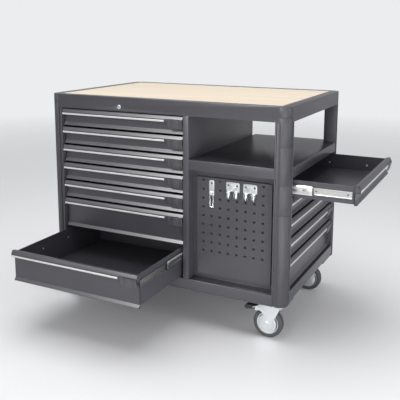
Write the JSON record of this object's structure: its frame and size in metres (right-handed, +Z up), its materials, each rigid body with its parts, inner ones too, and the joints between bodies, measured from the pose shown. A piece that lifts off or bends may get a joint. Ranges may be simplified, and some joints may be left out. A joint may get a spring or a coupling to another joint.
{
  "type": "mobile workbench",
  "caption": "Wheeled steel workbench with a timber top, drawer banks in the front and the right end, an open shelf and a perforated panel.",
  "frame": {"origin": "middle of the footprint at floor level as the bench is stored, with the lowest front drawer and the top side drawer open", "axes": "+X to the right seen from the front, along the front; +Y from the front to the back; +Z up"},
  "size_m": [1.4648, 1.1018, 0.967],
  "materials": {
    "anthracite_steel": "satin powder coat",
    "corner_plastic": "fine matt grain",
    "lever_plastic": "fine matt grain",
    "birch_ply": "clear satin lacquer",
    "zinc_plate": "bright zinc plate",
    "chrome_lock": "polished",
    "tyre_rubber": "matt rubber",
    "pedal_plastic": "matt"
  },
  "bodies": {
    "cabinet": {"worktop_board": "birch_ply", "top_frame": "anthracite_steel", "corner_posts": "anthracite_steel", "corner_bumpers": "corner_plastic", "panels": "anthracite_steel", "divider": "anthracite_steel", "base_frame": "anthracite_steel", "shelf": "anthracite_steel", "pegboard": "anthracite_steel", "cabinet_rails": "zinc_plate", "peg_hooks": "zinc_plate", "caster_plates": "zinc_plate", "lock_housing": "chrome_lock"},
    "lock_plug": {"lock_plug": "chrome_lock"},
    "front_drawer_1": {"drawer_f1": "anthracite_steel"},
    "front_latch_1": {"latch_f1": "lever_plastic"},
    "front_slides_1": {"slides_f1": "zinc_plate"},
    "front_drawer_2": {"drawer_f2": "anthracite_steel"},
    "front_latch_2": {"latch_f2": "lever_plastic"},
    "front_slides_2": {"slides_f2": "zinc_plate"},
    "front_drawer_3": {"drawer_f3": "anthracite_steel"},
    "front_latch_3": {"latch_f3": "lever_plastic"},
    "front_slides_3": {"slides_f3": "zinc_plate"},
    "front_drawer_4": {"drawer_f4": "anthracite_steel"},
    "front_latch_4": {"latch_f4": "lever_plastic"},
    "front_slides_4": {"slides_f4": "zinc_plate"},
    "front_drawer_5": {"drawer_f5": "anthracite_steel"},
    "front_latch_5": {"latch_f5": "lever_plastic"},
    "front_slides_5": {"slides_f5": "zinc_plate"},
    "front_drawer_6": {"drawer_f6": "anthracite_steel"},
    "front_latch_6": {"latch_f6": "lever_plastic"},
    "front_slides_6": {"slides_f6": "zinc_plate"},
    "front_drawer_7": {"drawer_f7": "anthracite_steel"},
    "front_latch_7": {"latch_f7": "lever_plastic"},
    "front_slides_7": {"slides_f7": "zinc_plate"},
    "side_drawer_1": {"drawer_s1": "anthracite_steel"},
    "side_latch_1": {"latch_s1": "lever_plastic"},
    "side_slides_1": {"slides_s1": "zinc_plate"},
    "side_drawer_2": {"drawer_s2": "anthracite_steel"},
    "side_latch_2": {"latch_s2": "lever_plastic"},
    "side_slides_2": {"slides_s2": "zinc_plate"},
    "side_drawer_3": {"drawer_s3": "anthracite_steel"},
    "side_latch_3": {"latch_s3": "lever_plastic"},
    "side_slides_3": {"slides_s3": "zinc_plate"},
    "side_drawer_4": {"drawer_s4": "anthracite_steel"},
    "side_latch_4": {"latch_s4": "lever_plastic"},
    "side_slides_4": {"slides_s4": "zinc_plate"},
    "side_drawer_5": {"drawer_s5": "anthracite_steel"},
    "side_latch_5": {"latch_s5": "lever_plastic"},
    "side_slides_5": {"slides_s5": "zinc_plate"},
    "caster_fl": {"fork_fl": "zinc_plate"},
    "wheel_fl": {"wheel_fl": "tyre_rubber"},
    "brake_fl": {"brake_fl": "pedal_plastic"},
    "caster_fr": {"fork_fr": "zinc_plate"},
    "wheel_fr": {"wheel_fr": "tyre_rubber"},
    "brake_fr": {"brake_fr": "pedal_plastic"},
    "caster_rl": {"fork_rl": "zinc_plate"},
    "wheel_rl": {"wheel_rl": "tyre_rubber"},
    "caster_rr": {"fork_rr": "zinc_plate"},
    "wheel_rr": {"wheel_rr": "tyre_rubber"}
  },
  "joints": [
    {"name": "front_drawer_1_slide", "type": "slide", "parent": "cabinet", "child": "front_drawer_1", "axis": [0, -1, 0], "range_m": [0, 0.56]},
    {"name": "front_slides_1_run", "type": "slide", "parent": "cabinet", "child": "front_slides_1", "axis": [0, -1, 0], "range_m": [0, 0.28]},
    {"name": "front_latch_1_lever", "type": "hinge", "parent": "front_drawer_1", "child": "front_latch_1", "pos_m": [-0.03394, -0.18392, 0.8826], "axis": [-1, 0, 0], "range_deg": [0, 12]},
    {"name": "front_drawer_2_slide", "type": "slide", "parent": "cabinet", "child": "front_drawer_2", "axis": [0, -1, 0], "range_m": [0, 0.56]},
    {"name": "front_slides_2_run", "type": "slide", "parent": "cabinet", "child": "front_slides_2", "axis": [0, -1, 0], "range_m": [0, 0.28]},
    {"name": "front_latch_2_lever", "type": "hinge", "parent": "front_drawer_2", "child": "front_latch_2", "pos_m": [-0.03394, -0.18392, 0.79939], "axis": [-1, 0, 0], "range_deg": [0, 12]},
    {"name": "front_drawer_3_slide", "type": "slide", "parent": "cabinet", "child": "front_drawer_3", "axis": [0, -1, 0], "range_m": [0, 0.56]},
    {"name": "front_slides_3_run", "type": "slide", "parent": "cabinet", "child": "front_slides_3", "axis": [0, -1, 0], "range_m": [0, 0.28]},
    {"name": "front_latch_3_lever", "type": "hinge", "parent": "front_drawer_3", "child": "front_latch_3", "pos_m": [-0.03394, -0.18392, 0.71617], "axis": [-1, 0, 0], "range_deg": [0, 12]},
    {"name": "front_drawer_4_slide", "type": "slide", "parent": "cabinet", "child": "front_drawer_4", "axis": [0, -1, 0], "range_m": [0, 0.56]},
    {"name": "front_slides_4_run", "type": "slide", "parent": "cabinet", "child": "front_slides_4", "axis": [0, -1, 0], "range_m": [0, 0.28]},
    {"name": "front_latch_4_lever", "type": "hinge", "parent": "front_drawer_4", "child": "front_latch_4", "pos_m": [-0.03394, -0.18392, 0.63296], "axis": [-1, 0, 0], "range_deg": [0, 12]},
    {"name": "front_drawer_5_slide", "type": "slide", "parent": "cabinet", "child": "front_drawer_5", "axis": [0, -1, 0], "range_m": [0, 0.56]},
    {"name": "front_slides_5_run", "type": "slide", "parent": "cabinet", "child": "front_slides_5", "axis": [0, -1, 0], "range_m": [0, 0.28]},
    {"name": "front_latch_5_lever", "type": "hinge", "parent": "front_drawer_5", "child": "front_latch_5", "pos_m": [-0.03394, -0.18392, 0.54974], "axis": [-1, 0, 0], "range_deg": [0, 12]},
    {"name": "front_drawer_6_slide", "type": "slide", "parent": "cabinet", "child": "front_drawer_6", "axis": [0, -1, 0], "range_m": [0, 0.56]},
    {"name": "front_slides_6_run", "type": "slide", "parent": "cabinet", "child": "front_slides_6", "axis": [0, -1, 0], "range_m": [0, 0.28]},
    {"name": "front_latch_6_lever", "type": "hinge", "parent": "front_drawer_6", "child": "front_latch_6", "pos_m": [-0.03394, -0.18392, 0.46653], "axis": [-1, 0, 0], "range_deg": [0, 12]},
    {"name": "front_drawer_7_slide", "type": "slide", "parent": "cabinet", "child": "front_drawer_7", "axis": [0, -1, 0], "range_m": [-0.36176, 0.19824]},
    {"name": "front_slides_7_run", "type": "slide", "parent": "cabinet", "child": "front_slides_7", "axis": [0, -1, 0], "range_m": [-0.18088, 0.09912]},
    {"name": "front_latch_7_lever", "type": "hinge", "parent": "front_drawer_7", "child": "front_latch_7", "pos_m": [-0.03394, -0.54568, 0.32506], "axis": [-1, 0, 0], "range_deg": [0, 12]},
    {"name": "side_drawer_1_slide", "type": "slide", "parent": "cabinet", "child": "side_drawer_1", "axis": [1, 0, 0], "range_m": [-0.26588, 0.07412]},
    {"name": "side_slides_1_run", "type": "slide", "parent": "cabinet", "child": "side_slides_1", "axis": [1, 0, 0], "range_m": [-0.13294, 0.03706]},
    {"name": "side_latch_1_lever", "type": "hinge", "parent": "side_drawer_1", "child": "side_latch_1", "pos_m": [0.72724, 0.44938, 0.6596], "axis": [0, -1, 0], "range_deg": [0, 12]},
    {"name": "side_drawer_2_slide", "type": "slide", "parent": "cabinet", "child": "side_drawer_2", "axis": [1, 0, 0], "range_m": [0, 0.34]},
    {"name": "side_slides_2_run", "type": "slide", "parent": "cabinet", "child": "side_slides_2", "axis": [1, 0, 0], "range_m": [0, 0.17]},
    {"name": "side_latch_2_lever", "type": "hinge", "parent": "side_drawer_2", "child": "side_latch_2", "pos_m": [0.46136, 0.44938, 0.57612], "axis": [0, -1, 0], "range_deg": [0, 12]},
    {"name": "side_drawer_3_slide", "type": "slide", "parent": "cabinet", "child": "side_drawer_3", "axis": [1, 0, 0], "range_m": [0, 0.34]},
    {"name": "side_slides_3_run", "type": "slide", "parent": "cabinet", "child": "side_slides_3", "axis": [1, 0, 0], "range_m": [0, 0.17]},
    {"name": "side_latch_3_lever", "type": "hinge", "parent": "side_drawer_3", "child": "side_latch_3", "pos_m": [0.46136, 0.44938, 0.49264], "axis": [0, -1, 0], "range_deg": [0, 12]},
    {"name": "side_drawer_4_slide", "type": "slide", "parent": "cabinet", "child": "side_drawer_4", "axis": [1, 0, 0], "range_m": [0, 0.34]},
    {"name": "side_slides_4_run", "type": "slide", "parent": "cabinet", "child": "side_slides_4", "axis": [1, 0, 0], "range_m": [0, 0.17]},
    {"name": "side_latch_4_lever", "type": "hinge", "parent": "side_drawer_4", "child": "side_latch_4", "pos_m": [0.46136, 0.44938, 0.40915], "axis": [0, -1, 0], "range_deg": [0, 12]},
    {"name": "side_drawer_5_slide", "type": "slide", "parent": "cabinet", "child": "side_drawer_5", "axis": [1, 0, 0], "range_m": [0, 0.34]},
    {"name": "side_slides_5_run", "type": "slide", "parent": "cabinet", "child": "side_slides_5", "axis": [1, 0, 0], "range_m": [0, 0.17]},
    {"name": "side_latch_5_lever", "type": "hinge", "parent": "side_drawer_5", "child": "side_latch_5", "pos_m": [0.46136, 0.44938, 0.32567], "axis": [0, -1, 0], "range_deg": [0, 12]},
    {"name": "caster_fl_swivel", "type": "hinge", "parent": "cabinet", "child": "caster_fl", "pos_m": [-0.60644, -0.12612, 0.154], "axis": [0, 0, 1], "continuous": true},
    {"name": "wheel_fl_roll", "type": "hinge", "parent": "caster_fl", "child": "wheel_fl", "pos_m": [-0.63044, -0.12612, 0.0625], "axis": [0, 1, 0], "continuous": true},
    {"name": "brake_fl_pedal", "type": "hinge", "parent": "caster_fl", "child": "brake_fl", "pos_m": [-0.68644, -0.12612, 0.1205], "axis": [0, -1, 0], "range_deg": [0, 18]},
    {"name": "caster_fr_swivel", "type": "hinge", "parent": "cabinet", "child": "caster_fr", "pos_m": [0.40156, -0.12612, 0.154], "axis": [0, 0, 1], "continuous": true},
    {"name": "wheel_fr_roll", "type": "hinge", "parent": "caster_fr", "child": "wheel_fr", "pos_m": [0.37756, -0.12612, 0.0625], "axis": [0, 1, 0], "continuous": true},
    {"name": "brake_fr_pedal", "type": "hinge", "parent": "caster_fr", "child": "brake_fr", "pos_m": [0.32156, -0.12612, 0.1205], "axis": [0, -1, 0], "range_deg": [0, 18]},
    {"name": "caster_rl_swivel", "type": "hinge", "parent": "cabinet", "child": "caster_rl", "pos_m": [-0.60644, 0.42288, 0.154], "axis": [0, 0, 1], "continuous": true},
    {"name": "wheel_rl_roll", "type": "hinge", "parent": "caster_rl", "child": "wheel_rl", "pos_m": [-0.63044, 0.42288, 0.0625], "axis": [0, 1, 0], "continuous": true},
    {"name": "caster_rr_swivel", "type": "hinge", "parent": "cabinet", "child": "caster_rr", "pos_m": [0.40156, 0.42288, 0.154], "axis": [0, 0, 1], "continuous": true},
    {"name": "wheel_rr_roll", "type": "hinge", "parent": "caster_rr", "child": "wheel_rr", "pos_m": [0.37756, 0.42288, 0.0625], "axis": [0, 1, 0], "continuous": true},
    {"name": "lock_turn", "type": "hinge", "parent": "cabinet", "child": "lock_plug", "pos_m": [-0.30044, -0.18912, 0.925], "axis": [0, 1, 0], "range_deg": [0, 90]}
  ],
  "couplings": [
    {"joint": "front_slides_1_run", "follows": "front_drawer_1_slide", "ratio": 0.5},
    {"joint": "front_slides_2_run", "follows": "front_drawer_2_slide", "ratio": 0.5},
    {"joint": "front_slides_3_run", "follows": "front_drawer_3_slide", "ratio": 0.5},
    {"joint": "front_slides_4_run", "follows": "front_drawer_4_slide", "ratio": 0.5},
    {"joint": "front_slides_5_run", "follows": "front_drawer_5_slide", "ratio": 0.5},
    {"joint": "front_slides_6_run", "follows": "front_drawer_6_slide", "ratio": 0.5},
    {"joint": "front_slides_7_run", "follows": "front_drawer_7_slide", "ratio": 0.5},
    {"joint": "side_slides_1_run", "follows": "side_drawer_1_slide", "ratio": 0.5},
    {"joint": "side_slides_2_run", "follows": "side_drawer_2_slide", "ratio": 0.5},
    {"joint": "side_slides_3_run", "follows": "side_drawer_3_slide", "ratio": 0.5},
    {"joint": "side_slides_4_run", "follows": "side_drawer_4_slide", "ratio": 0.5},
    {"joint": "side_slides_5_run", "follows": "side_drawer_5_slide", "ratio": 0.5}
  ]
}
